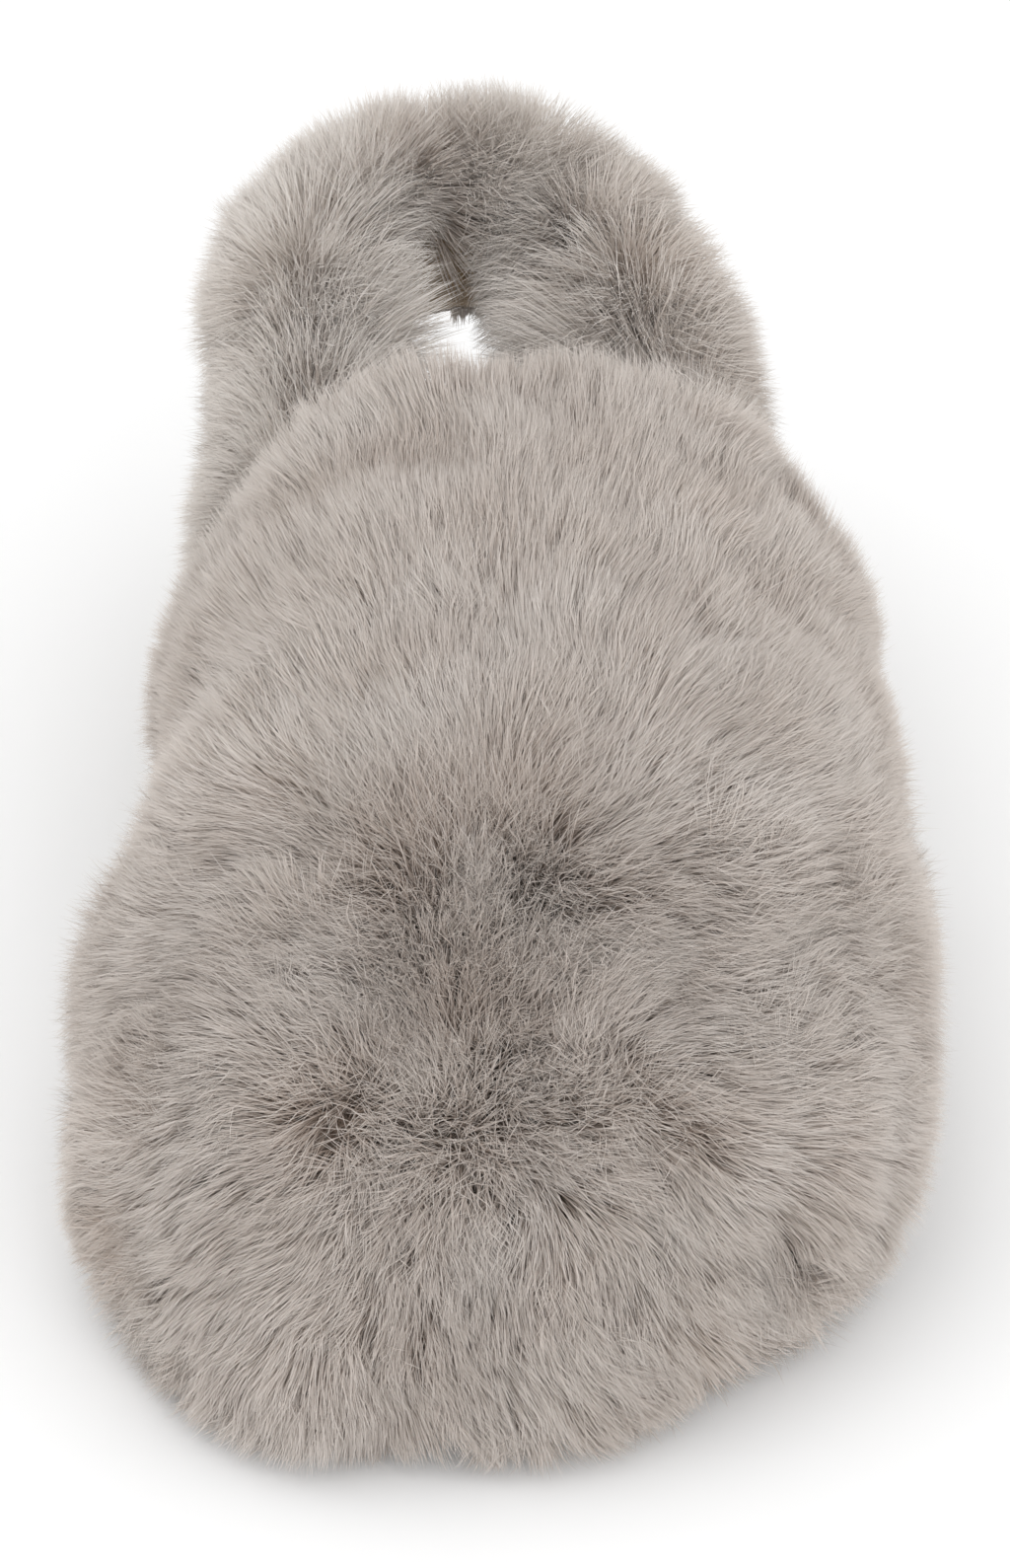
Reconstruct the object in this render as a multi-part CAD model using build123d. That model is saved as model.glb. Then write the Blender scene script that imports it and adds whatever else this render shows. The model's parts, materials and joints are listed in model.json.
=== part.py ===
from build123d import *
import math
import os

# A left-foot house slipper in long-pile faux fur: closed toe, open heel and a fur heel strap.
# Toe towards -Y, heel towards +Y, +X on the lateral side, the floor at Z = 0. Millimetres.

# --- Driving dimensions -----------------------------------------------------------------
SOLE_TOE_Y = -128.0
SOLE_HEEL_Y = 125.0
OUTSOLE_T = 5.0
MIDSOLE_T = 10.0
FOXING_T = 0.8
BOARD_T = 1.5
FOOTBED_T = 6.0
PLUSH_T = 4.0
FOOTBED_INSET = 1.5
TREAD_DEPTH = 1.5
TREAD_WIDTH = 3.0
TREAD_PITCH = 15.0

# Upper: a dome over the toes, given by its fur envelope. Layers lie at insets from that envelope.
BALL_Y = -70.0
BALL_HALF_WIDTH = 69.5
BALL_HEIGHT = 80.0
TOE_REACH = 75.0
PILE_T = 16.0
FOAM_T = 4.0
PUFF_T = 0.8
LINING_T = 1.2
BINDING_T = 1.2
BINDING_FLAP = 8.0
FUR_BASE_Z = 3.0
LAYER_BASE_Z = 6.0
THROAT_TOP_Y = 16.0
THROAT_TOP_Z = 103.0
THROAT_SLOPE = 0.2
WING_END_Y = 34.0

# Heel strap: a band on a U-shaped line, swinging about a transverse axis at its two sewn ends.
HINGE_Y = 30.0
HINGE_Z = 44.0
STRAP_TILT = 22.0
STRAP_HALF_SPAN = 38.0
STRAP_BACK_HALF = 28.0
STRAP_LEG_END_Y = 94.5
BAND_HALF = 15.0
STRAP_LINING_T = 1.0
ELASTIC_T = 2.0
STRAP_FOAM_T = 3.0
STRAP_PILE = 17.0
STRAP_FUR_TOP = 22.0
STRAP_FUR_BOTTOM = 19.0
TAB_T = 1.4
TAB_HALF = 6.0
TAB_X = 36.0
TAB_FRONT = 14.0
TACK_R = 1.5
TACK_HEAD_R = 3.0
TACK_HEAD_T = 0.8
GAP = 0.3
LABEL_Y = 78.0
LABEL_WIDTH = 26.0
LABEL_LENGTH = 16.0
LABEL_T = 0.6

MIDSOLE_Z = OUTSOLE_T
BOARD_Z = MIDSOLE_Z + MIDSOLE_T
FOOTBED_Z = BOARD_Z + BOARD_T
PLUSH_Z = FOOTBED_Z + FOOTBED_T
PLUSH_TOP = PLUSH_Z + PLUSH_T
FOAM_INSET = PILE_T
LINING_INSET = FOAM_INSET + FOAM_T
CAVITY_INSET = LINING_INSET + LINING_T


# --- Sole -------------------------------------------------------------------------------
def sole_face(inset):
    """The foot outline at the floor, each point moved inwards by inset."""
    lateral = [(0, SOLE_HEEL_Y), (17, 120), (29, 106), (34, 82), (36, 45), (42, -15), (48, -55),
               (46, -88), (34, -112), (15, -124)]
    medial = [(-8, SOLE_TOE_Y), (-29, -121), (-42, -102), (-46, -70), (-37, -12), (-33, 45),
              (-33, 82), (-29, 106), (-17, 120)]
    points = lateral + medial
    moved = []
    for i, (x, y) in enumerate(points):
        ahead = points[(i + 1) % len(points)]
        behind = points[i - 1]
        run = Vector(ahead[0] - behind[0], ahead[1] - behind[1]).normalized()
        moved.append((x + inset * run.Y, y - inset * run.X))
    loop = Spline(*moved, periodic=True)
    return make_face([loop.trim(0, 0.5), loop.trim(0.5, 1)])


def sole_slab(inset, z, thickness):
    return Pos(0, 0, z) * extrude(sole_face(inset), thickness)


def make_outsole():
    body = sole_slab(0, 0, OUTSOLE_T)
    tread_area = Pos(0, 0, -1) * extrude(sole_face(7), TREAD_DEPTH + 1)
    count = int((SOLE_HEEL_Y - SOLE_TOE_Y) / TREAD_PITCH)
    grooves = []
    for i in range(count):
        y = SOLE_TOE_Y + TREAD_PITCH * (i + 0.6)
        grooves.append(Pos(0, y, 0) * Box(200, TREAD_WIDTH, 2 * TREAD_DEPTH))
    return body - (tread_area & (Part() + grooves))


def make_midsole():
    return sole_slab(FOXING_T, MIDSOLE_Z, MIDSOLE_T)


def make_foxing_band():
    return sole_slab(0, MIDSOLE_Z, MIDSOLE_T) - sole_slab(FOXING_T, MIDSOLE_Z, MIDSOLE_T)


def inside_upper():
    """The space that the footbed layers may fill: inside the lining in front, free behind it."""
    rear = Pos(0, 150 + THROAT_TOP_Y - 30, 0) * Box(300, 300, 100)
    return dome(CAVITY_INSET) + rear


def make_insole_board():
    return sole_slab(FOOTBED_INSET, BOARD_Z, BOARD_T) & inside_upper()


def make_footbed_foam():
    return sole_slab(FOOTBED_INSET, FOOTBED_Z, FOOTBED_T) & inside_upper()


def make_footbed_plush():
    return sole_slab(FOOTBED_INSET, PLUSH_Z, PLUSH_T) & inside_upper()


# --- Upper ------------------------------------------------------------------------------
def arch_face(y, centre, half_width, height, base):
    """A cross-section of the dome: widest a third of the way up, flat underneath."""
    side = [(0.93, base), (1.0, 0.3), (0.78, 0.79)]
    right = [Vector(centre + half_width * a, y, height * b) for a, b in side]
    left = [Vector(centre - half_width * a, y, height * b) for a, b in side]
    top = Vector(centre, y, height)
    arch = Spline(*left, top, *reversed(right))
    return make_face([arch, Line(right[0], left[0])])


def dome(inset):
    """The upper as a solid dome, inset from the fur envelope and reaching past it below and behind."""
    sections = []
    base = -0.03 - inset / 300
    rear_y = 40 + inset / 2
    for t in (0.98, 0.92, 0.82, 0.68, 0.5, 0.28, 0.0):
        y = BALL_Y - t * (TOE_REACH - inset)
        half_width = (BALL_HALF_WIDTH - inset) * (1 - t ** 2.4) ** (1 / 2.4)
        height = (BALL_HEIGHT - inset) * (1 - t ** 1.5) ** (1 / 1.5)
        sections.append(arch_face(y, 1 - 9 * t * t, half_width, height, base))
    for y, centre, half_width, height in ((-36, 2, 65, 92), (-8, 0, 61.5, 99), (rear_y, 0, 59, 106)):
        sections.append(arch_face(y, centre, half_width - inset, height - inset, base))
    return loft(sections, ruled=True)


def behind_throat(setback):
    """All that lies behind the throat line, moved forward by setback."""
    profile = Polyline(
        (THROAT_TOP_Y + 5 - setback, THROAT_TOP_Z + 25),
        (THROAT_TOP_Y - THROAT_SLOPE * (THROAT_TOP_Z - 22) - setback, 22),
        (WING_END_Y - setback, 22),
        (WING_END_Y - setback, -5),
        (200, -5),
        (200, THROAT_TOP_Z + 25),
        close=True,
    )
    wall = extrude(Plane.YZ * make_face(profile), 150, both=True)
    swing = Pos(0, HINGE_Y, HINGE_Z) * Rot(0, 90, 0) * Cylinder(STRAP_FUR_TOP + 0.8 + setback, 300)
    return wall + swing


def shell(outer, inner, base_z, setback=0.0):
    """A layer of the upper between two insets, open at the throat and over the sole."""
    layer = dome(outer) - dome(inner) - behind_throat(setback)
    floor = Pos(0, 0, base_z - 100) * Box(400, 400, 200)
    return layer - floor - sole_slab(0, 0, BOARD_Z)


def make_vamp_fur():
    return shell(0, PILE_T, FUR_BASE_Z)


def make_toe_puff():
    layer = shell(LINING_INSET - PUFF_T, LINING_INSET, BOARD_Z)
    return layer & Pos(0, BALL_Y - 15 - 100, 0) * Box(400, 200, 400)


def make_vamp_foam():
    return shell(FOAM_INSET, LINING_INSET, LAYER_BASE_Z, BINDING_T) - make_toe_puff()


def make_vamp_lining():
    return shell(LINING_INSET, CAVITY_INSET, LAYER_BASE_Z, BINDING_T)


def make_throat_binding():
    """A tape folded over the throat edge: a rim behind the layers and a flap on the lining."""
    rim = shell(FOAM_INSET, CAVITY_INSET, PLUSH_TOP + 1) & behind_throat(BINDING_T)
    flap = shell(CAVITY_INSET, CAVITY_INSET + BINDING_T, PLUSH_TOP + 1) & behind_throat(BINDING_FLAP)
    return rim + flap


# --- Heel strap, drawn level with its hinge axis at Y = HINGE_Y, Z = HINGE_Z ---------------
def strap_line(offset_out, start_y):
    """Half of the U-shaped line of the band, as a closed face reaching inwards, in plan."""
    lean = math.atan2(STRAP_HALF_SPAN - STRAP_BACK_HALF, STRAP_LEG_END_Y - HINGE_Y)
    radius = STRAP_BACK_HALF / math.cos(lean)
    centre_y = STRAP_LEG_END_Y - radius * math.sin(lean)
    reach = radius + offset_out
    end = (reach * math.cos(lean), centre_y + reach * math.sin(lean))
    start_x = end[0] + (end[1] - start_y) * math.tan(lean)
    leg_right = Line((start_x, start_y), end)
    bow = ThreePointArc(end, (0, centre_y + reach), (-end[0], end[1]))
    leg_left = Line((-end[0], end[1]), (-start_x, start_y))
    return make_face([leg_right, bow, leg_left, Line((-start_x, start_y), (start_x, start_y))])


def band(inner, outer, low, high, start_y):
    """A band of the strap between two offsets from its line and two heights about the axis."""
    ring = strap_line(outer, start_y) - strap_line(inner, start_y)
    return Pos(0, 0, HINGE_Z + low) * extrude(ring, high - low)


def round_ends(solid, radius):
    """The forward ends turned to a circle about the hinge axis."""
    front = Pos(0, HINGE_Y - 100, HINGE_Z) * Box(400, 200, 400)
    turned = Pos(0, HINGE_Y, HINGE_Z) * Rot(0, 90, 0) * Cylinder(radius, 400)
    return solid - (front - turned)


def tilt(solid):
    """Lift the level strap to its rest angle about the hinge axis."""
    return Pos(0, HINGE_Y, HINGE_Z) * Rot(STRAP_TILT, 0, 0) * Pos(0, -HINGE_Y, -HINGE_Z) * solid


def make_strap_elastic():
    core = band(0, ELASTIC_T, -BAND_HALF, BAND_HALF, HINGE_Y - BAND_HALF)
    core = round_ends(core, BAND_HALF)
    hole = Pos(0, HINGE_Y, HINGE_Z) * Rot(0, 90, 0) * Cylinder(TACK_R + GAP + 0.1, 400)
    return tilt(core - hole)


def make_strap_lining():
    start = HINGE_Y + TAB_HALF + 8
    return tilt(band(-STRAP_LINING_T, 0, -BAND_HALF, BAND_HALF, start))


def make_strap_foam():
    start = HINGE_Y + TACK_HEAD_R + 3
    return tilt(band(ELASTIC_T, ELASTIC_T + STRAP_FOAM_T, -BAND_HALF, BAND_HALF, start))


def make_strap_fur():
    """The fur sleeve: a thick rounded band, open on its inner side where the lining lies."""
    outer = ELASTIC_T + STRAP_FOAM_T + STRAP_PILE
    sleeve = band(-STRAP_LINING_T, outer, -STRAP_FUR_BOTTOM, STRAP_FUR_TOP, HINGE_Y - STRAP_FUR_TOP)
    rim = sleeve.edges().filter_by(lambda e: e.bounding_box().size.Y > 20)
    far = rim.filter_by(lambda e: abs(e.bounding_box().max.X) > STRAP_BACK_HALF + outer - 6
                        or abs(e.bounding_box().min.X) > STRAP_BACK_HALF + outer - 6)
    sleeve = fillet(far, 11)
    sleeve = round_ends(sleeve, STRAP_FUR_TOP)
    pocket_out = ELASTIC_T + STRAP_FOAM_T
    pocket = band(-STRAP_LINING_T - 1, pocket_out, -BAND_HALF, BAND_HALF, HINGE_Y - 40)
    return tilt(sleeve - pocket)


# --- Sewn ends of the strap -----------------------------------------------------------------
def make_strap_anchor(side):
    """A woven tab lying against the lining in front and reaching back to the hinge axis."""
    reach = TAB_FRONT + THROAT_TOP_Y
    plate = Pos(TAB_X - TAB_T / 2, HINGE_Y - reach / 2, HINGE_Z) * Box(TAB_T, reach, 2 * TAB_HALF)
    plate += Pos(TAB_X - TAB_T / 2, HINGE_Y, HINGE_Z) * Rot(0, 90, 0) * Cylinder(TAB_HALF, TAB_T)
    facing = CAVITY_INSET + BINDING_T
    root = Pos(50, HINGE_Y - reach, HINGE_Z) * Box(60, reach, 2 * TAB_HALF)
    if side < 0:
        plate = mirror(plate, Plane.YZ)
        root = mirror(root, Plane.YZ)
    root = root & (dome(facing) - dome(facing + TAB_T)) - behind_throat(0)
    upper = dome(0) - dome(facing) - behind_throat(0)
    hole = Pos(0, HINGE_Y, HINGE_Z) * Rot(0, 90, 0) * Cylinder(TACK_R, 400)
    return (plate - upper) + root - hole


def make_bar_tack(side):
    """The bundle of thread that the strap end turns about, with a knot at each end."""
    inner_x = TAB_X - TAB_T
    outer_x = STRAP_HALF_SPAN + ELASTIC_T + GAP + 0.6
    middle = (inner_x + outer_x) / 2
    tack = Pos(side * middle, 0, 0) * Rot(0, 90, 0) * Cylinder(TACK_R, outer_x - inner_x)
    for x in (inner_x - TACK_HEAD_T / 2, outer_x + TACK_HEAD_T / 2):
        tack += Pos(side * x, 0, 0) * Rot(0, 90, 0) * Cylinder(TACK_HEAD_R, TACK_HEAD_T)
    return Pos(0, HINGE_Y, HINGE_Z) * tack


def make_care_label():
    """A blank woven label, sewn flat on the footbed under the heel."""
    return Pos(0, LABEL_Y, PLUSH_TOP + LABEL_T / 2) * Box(LABEL_WIDTH, LABEL_LENGTH, LABEL_T)


PARTS = {
    "outsole": make_outsole(),
    "midsole": make_midsole(),
    "foxing_band": make_foxing_band(),
    "insole_board": make_insole_board(),
    "footbed_foam": make_footbed_foam(),
    "footbed_plush": make_footbed_plush(),
    "vamp_fur": make_vamp_fur(),
    "vamp_foam": make_vamp_foam(),
    "toe_puff": make_toe_puff(),
    "vamp_lining": make_vamp_lining(),
    "throat_binding": make_throat_binding(),
    "strap_fur": make_strap_fur(),
    "strap_foam": make_strap_foam(),
    "strap_elastic": make_strap_elastic(),
    "strap_lining": make_strap_lining(),
    "strap_anchor_lateral": make_strap_anchor(1),
    "strap_anchor_medial": make_strap_anchor(-1),
    "bar_tack_lateral": make_bar_tack(1),
    "bar_tack_medial": make_bar_tack(-1),
    "care_label": make_care_label(),
}

whole = Compound(children=[part.solids()[0] for part in (PARTS["vamp_fur"], PARTS["strap_fur"])])
box = whole.bounding_box()
shift = Pos(-(box.min.X + box.max.X) / 2, -(box.min.Y + box.max.Y) / 2, 0)
print("hinge", HINGE_Y - (box.min.Y + box.max.Y) / 2, HINGE_Z, "size", box.size)

for name, part in PARTS.items():
    export_step(shift * part, f"parts/{name}.step")
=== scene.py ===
import bpy
import json
import math
import numpy as np
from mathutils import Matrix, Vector


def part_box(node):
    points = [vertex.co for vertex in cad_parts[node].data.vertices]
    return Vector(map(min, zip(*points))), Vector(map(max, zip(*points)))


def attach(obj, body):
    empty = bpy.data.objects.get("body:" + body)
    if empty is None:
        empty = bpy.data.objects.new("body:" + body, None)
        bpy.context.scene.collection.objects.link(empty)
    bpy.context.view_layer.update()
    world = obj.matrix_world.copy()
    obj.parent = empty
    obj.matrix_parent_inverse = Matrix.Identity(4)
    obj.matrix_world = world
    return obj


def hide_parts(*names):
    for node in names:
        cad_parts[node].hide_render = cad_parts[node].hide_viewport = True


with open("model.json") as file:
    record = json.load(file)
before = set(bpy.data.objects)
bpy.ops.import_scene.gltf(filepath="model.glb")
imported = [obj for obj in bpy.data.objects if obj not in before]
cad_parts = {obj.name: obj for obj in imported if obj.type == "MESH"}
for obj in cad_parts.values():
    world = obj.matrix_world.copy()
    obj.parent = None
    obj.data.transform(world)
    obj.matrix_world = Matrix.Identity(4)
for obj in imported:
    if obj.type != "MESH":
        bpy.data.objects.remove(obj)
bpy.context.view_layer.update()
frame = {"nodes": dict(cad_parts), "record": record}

MM = 0.001
rng = np.random.default_rng(20)

# --- Where things are, from the frame -------------------------------------------------------------
# +Z is up, the toe is at -Y, and +X is the lateral side.
FUR_LOW, FUR_HIGH = (np.array(c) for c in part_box("vamp_fur"))
LABEL_LOW, LABEL_HIGH = (np.array(c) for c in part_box("care_label"))
BED_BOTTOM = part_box("footbed_foam")[0][2]
PLUSH_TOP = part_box("footbed_plush")[1][2]
JOINT = next(j for j in frame["record"]["behaviour"]["joints"] if j["name"] == "strap_swing")
HINGE = np.array(JOINT["pos_m"])

# --- The upper's dome -------------------------------------------------------------------------------
BALL_Y = FUR_LOW[1] + 73.5 * MM
THROAT_Y = FUR_HIGH[1] - 18 * MM
TOE_Y = FUR_LOW[1] - 1.5 * MM
HALF_WIDTH = (FUR_HIGH[0] - FUR_LOW[0]) / 2
THROAT_HEIGHT = FUR_HIGH[2] + 1 * MM
SKIN_BASE = 5 * MM
PROFILE_POWER = 1.6
PLAN_POWER = 2.3
ARCH_POWERS = (2.5, 2.2)
WALL_SHARE = 0.16
WALL_RISE = 0.3
THROAT_LEAN = 0.2
STRAP_CUT = 24 * MM
WING_GAP = 8.8 * MM


def smooth(x):
    x = np.clip(x, 0, 1)
    return x * x * (3 - 2 * x)


def bump(x, centre, width):
    return np.exp(-((x - centre) / width) ** 2)


def unit(v):
    return v / np.maximum(np.linalg.norm(v, axis=-1, keepdims=True), 1e-9)


def dome_plan(y, inset):
    """The middle and half width of the dome at a station: widest at the ball, drawn in behind it."""
    front = np.clip((BALL_Y - y) / (BALL_Y - TOE_Y - inset), 0, 1)
    instep = bump(y, BALL_Y + 20 * MM, 20 * MM)
    waist = 5.8 * smooth((y - BALL_Y) / (45 * MM)) + 1.5 * smooth((y - THROAT_Y + 18 * MM) / (20 * MM))
    waist = waist + 1.3 * instep
    half = (HALF_WIDTH - inset) * (1 - front ** PLAN_POWER) ** (1 / PLAN_POWER) - waist * MM
    centre = (-0.5 - 11 * front ** 2 + 4.2 * smooth((y - BALL_Y) / (42 * MM)) + 1.4 * instep) * MM
    return centre, half


def dome_point(y, a, inset):
    """The dome at a station y and a place a across it, from 0 at the lateral hem to 1 at the medial one."""
    tau = np.clip((THROAT_Y - y) / (THROAT_Y - TOE_Y - inset), 0, 1)
    height = (THROAT_HEIGHT - inset - SKIN_BASE) * np.sqrt(np.clip(1 - tau ** PROFILE_POWER, 0, 1))
    height = height + np.clip(y - THROAT_Y, 0, 1) * 0.15
    centre, half = dome_plan(y, inset)
    up = np.clip((a - WALL_SHARE) / (1 - 2 * WALL_SHARE), 0, 1) * math.pi
    x = np.sign(np.cos(up)) * np.abs(np.cos(up)) ** (2 / ARCH_POWERS[0])
    z = WALL_RISE + (1 - WALL_RISE) * np.sin(up) ** (2 / ARCH_POWERS[1])
    low = np.clip(np.maximum(WALL_SHARE - a, a - 1 + WALL_SHARE) / WALL_SHARE, 0, 1)
    x = x * (1 - 0.09 * low ** 2)
    z = np.where(low > 0, WALL_RISE * (1 - low), z)
    return np.stack([centre + half * x, y + 0 * x, SKIN_BASE + height * z], -1)


def throat_y(z):
    """How far back the throat edge is at a height: it leans forward going down, and is cut round the
    strap's end."""
    edge = THROAT_Y - THROAT_LEAN * (FUR_HIGH[2] - z)
    inside = np.clip(STRAP_CUT ** 2 - (z - HINGE[2]) ** 2, 0, None)
    edge = np.minimum(edge, HINGE[1] - np.sqrt(inside) + np.where(inside > 0, 0, 1))
    return np.where(z < HINGE[2] - STRAP_CUT * 0.93, HINGE[1] - WING_GAP, edge)


def dome_grid(inset, rows, columns, back=0.0):
    """The dome as a grid of points from the toe's tip to the throat edge."""
    s = np.linspace(0, 1, rows)
    a = np.linspace(0, 1, columns)
    start = TOE_Y + inset + 0.1 * MM
    grid = np.zeros((rows, columns, 3))
    rise = dome_point(np.full(columns, THROAT_Y - 15 * MM), a, inset)[:, 2]
    stop = throat_y(rise) - back
    for j in range(columns):
        y = start + (stop[j] - start) * s ** PROFILE_POWER
        grid[:, j] = dome_point(y, np.full(rows, a[j]), inset)
    return grid[:, ::-1]


# --- Meshes -----------------------------------------------------------------------------------------
def new_object(name, mesh, material, body):
    obj = bpy.data.objects.new(name, mesh)
    bpy.context.collection.objects.link(obj)
    if material:
        mesh.materials.append(material)
    if body:
        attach(obj, body)
    return obj


def grid_mesh(name, grid):
    """A quad mesh over a grid of points."""
    rows, columns = grid.shape[:2]
    faces = []
    for i in range(rows - 1):
        for j in range(i * columns, (i + 1) * columns - 1):
            faces.append((j, j + 1, j + 1 + columns, j + columns))
    mesh = bpy.data.meshes.new(name)
    mesh.from_pydata(grid.reshape(-1, 3).tolist(), [], faces)
    mesh.update()
    mesh.polygons.foreach_set("use_smooth", [True] * len(mesh.polygons))
    return mesh


def thickened(name, grid, thickness, material, body, instead, offset=0.0):
    """A layer of cloth or foam over a grid, with its own thickness, in place of a CAD node."""
    obj = new_object(name, grid_mesh(name, grid), material, body)
    layer = obj.modifiers.new("thickness", "SOLIDIFY")
    layer.thickness = thickness
    layer.offset = offset
    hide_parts(instead)
    return obj


def grid_normals(grid):
    return unit(np.cross(np.gradient(grid, axis=1), np.gradient(grid, axis=0)))


def scatter(grid, count):
    """Random places over a grid, even by area: points, normals, and grid places (row, column) from 0 to 1."""
    normals = grid_normals(grid)
    d1 = grid[1:, 1:] - grid[:-1, :-1]
    d2 = grid[1:, :-1] - grid[:-1, 1:]
    area = np.linalg.norm(np.cross(d1, d2), axis=-1).ravel()
    rows, columns = grid.shape[0] - 1, grid.shape[1] - 1
    cell = rng.choice(area.size, count, p=area / area.sum())
    i, j = cell // columns, cell % columns
    u, v = rng.random(count), rng.random(count)

    def mix(values):
        a = values[i, j] * ((1 - u) * (1 - v))[:, None] + values[i + 1, j] * (u * (1 - v))[:, None]
        return a + values[i, j + 1] * ((1 - u) * v)[:, None] + values[i + 1, j + 1] * (u * v)[:, None]

    return mix(grid), unit(mix(normals)), (i + u) / rows, (j + v) / columns


# --- Fur --------------------------------------------------------------------------------------------
WAVE_COUNT = 9
WAVE_SCALE = 3.2
waves = {}


def field(p, wavelength, seed):
    """Smooth noise from -1 to 1 at points p: a sum of plane waves near one wavelength."""
    if seed not in waves:
        maker = np.random.default_rng(seed)
        directions = unit(maker.normal(size=(WAVE_COUNT, 3)))
        stretch = maker.uniform(0.6, 1.6, (WAVE_COUNT, 1))
        waves[seed] = directions * stretch, maker.uniform(0, 2 * math.pi, WAVE_COUNT)
    k, phase = waves[seed]
    return np.sin(p @ (k.T * (2 * math.pi / wavelength)) + phase).sum(-1) / WAVE_SCALE


def field3(p, wavelength, seed):
    """Smooth noise as a vector."""
    return np.stack([field(p, wavelength, seed + i) for i in range(3)], -1)


KEY_SPAN = 1024


def clumped(p, size, seed):
    """For each root, the centre of its clump and the clump's number. Clumps are wavy cells of space."""
    cell = np.floor(p / size + 0.35 * field3(p, size * 3, seed)).astype(np.int64)
    key = ((cell[:, 0] + KEY_SPAN // 2) * KEY_SPAN + cell[:, 1] + KEY_SPAN // 2) * KEY_SPAN
    key = key + cell[:, 2] + KEY_SPAN // 2
    _, group = np.unique(key, return_inverse=True)
    total = np.zeros((group.max() + 1, 3))
    np.add.at(total, group, p)
    return (total / np.bincount(group)[:, None])[group], group


# A strand's levels along it, the first three with their share of its width; the last is its point.
LEVELS = np.array([0.0, 0.45, 0.78, 1.0])
TAPER = np.array([1.0, 0.95, 0.7])
DROOP = 0.6
ROOT_DEPTH = 0.4 * MM
FLOOR_GAP = 3 * MM
LOWEST = 0.4 * MM
CEILING = 112 * MM
CEILING_PRESS = 0.6


def strands(p, n, flow, length, lift, width,
            wild=0.2, tuft=0.5, tuft_size=2.3 * MM, unruly=1.0, guide=None):
    """Tapered ribbons from roots p: they leave at the lift angle and bend over towards the flow.

    wild is how far single strands stray from the flow, unruly how far patches of them do, and tuft
    how far tips gather into tufts.
    guide, where given, moves each point of the way, so that strands keep clear of an opening."""
    path = strand_paths(p, n, flow, length, lift, wild, tuft, tuft_size, unruly, guide)
    corners = []
    roll = rng.normal(size=len(p)) * 0.5
    for k in range(3):
        ahead = unit(path[k + 1] - path[max(k - 1, 0)])
        outward = unit(n - (n * ahead).sum(-1, keepdims=True) * ahead)
        across = np.cross(ahead, outward)
        side = across * np.cos(roll)[:, None] + outward * np.sin(roll)[:, None]
        half = side * (width * TAPER[k] / 2)[:, None]
        corners += [path[k] - half, path[k] + half]
    corners = np.stack(corners + [path[3]], 1)
    sunk = np.minimum(corners[..., 2] - FLOOR_GAP, 0)
    corners[..., 2] = np.where(sunk < 0, FLOOR_GAP + 0.1 * sunk, corners[..., 2])
    corners[..., 2] = np.maximum(corners[..., 2], LOWEST)
    return corners


def strand_paths(p, n, flow, length, lift, wild, tuft, tuft_size, unruly, guide):
    """The points that each strand passes at LEVELS, from its root just under the skin to its tip."""
    count = len(p)
    flow = flow - (flow * n).sum(-1, keepdims=True) * n
    middle, group = clumped(p, tuft_size, 500)
    turn = np.random.default_rng(7).normal(size=(group.max() + 1, 3))[group]
    wander = 0.42 * field3(p, 30 * MM, 300) + 0.27 * field3(p, 12 * MM, 320)
    unruly = np.broadcast_to(unruly, count)[:, None]
    stray = unruly * (wander + 0.3 * turn) + wild * rng.normal(size=(count, 3))
    flow = flow + stray - (stray * n).sum(-1, keepdims=True) * n
    flow = flow / np.maximum(np.linalg.norm(flow, axis=-1, keepdims=True), 0.55)
    path = [p - n * ROOT_DEPTH]
    place = path[0]
    kink = rng.normal(size=(count, 3)) * 0.1
    for a, b in zip(LEVELS[:-1], LEVELS[1:]):
        bend = lift * (1 - DROOP * ((a + b) / 2) ** 1.5)
        heading = unit(n * np.sin(bend)[:, None] + flow * np.cos(bend)[:, None])
        heading = unit(heading + kink * (a - b + 0.5) + rng.normal(size=(count, 3)) * 0.04)
        place = place + heading * (length * (b - a))[:, None]
        path.append(place)
    pull = middle - p
    pull -= (pull * n).sum(-1, keepdims=True) * n
    for k in (1, 2, 3):
        path[k] = path[k] + pull * (tuft * LEVELS[k] ** 1.5)
        if guide:
            path[k] = guide(path[k])
        path[k][:, 2] -= CEILING_PRESS * np.maximum(path[k][:, 2] - CEILING, 0)
    return path


STRAND_FACES = ((0, 1, 3, 2), (2, 3, 5, 4), (4, 5, 6))
STRAND_WIDTHS = (0.13 * MM, 0.24 * MM)
LIFT_LIMITS = (0.3, 1.55)
TONE_SPREAD = 0.07
TONE_BINS = 64


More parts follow.
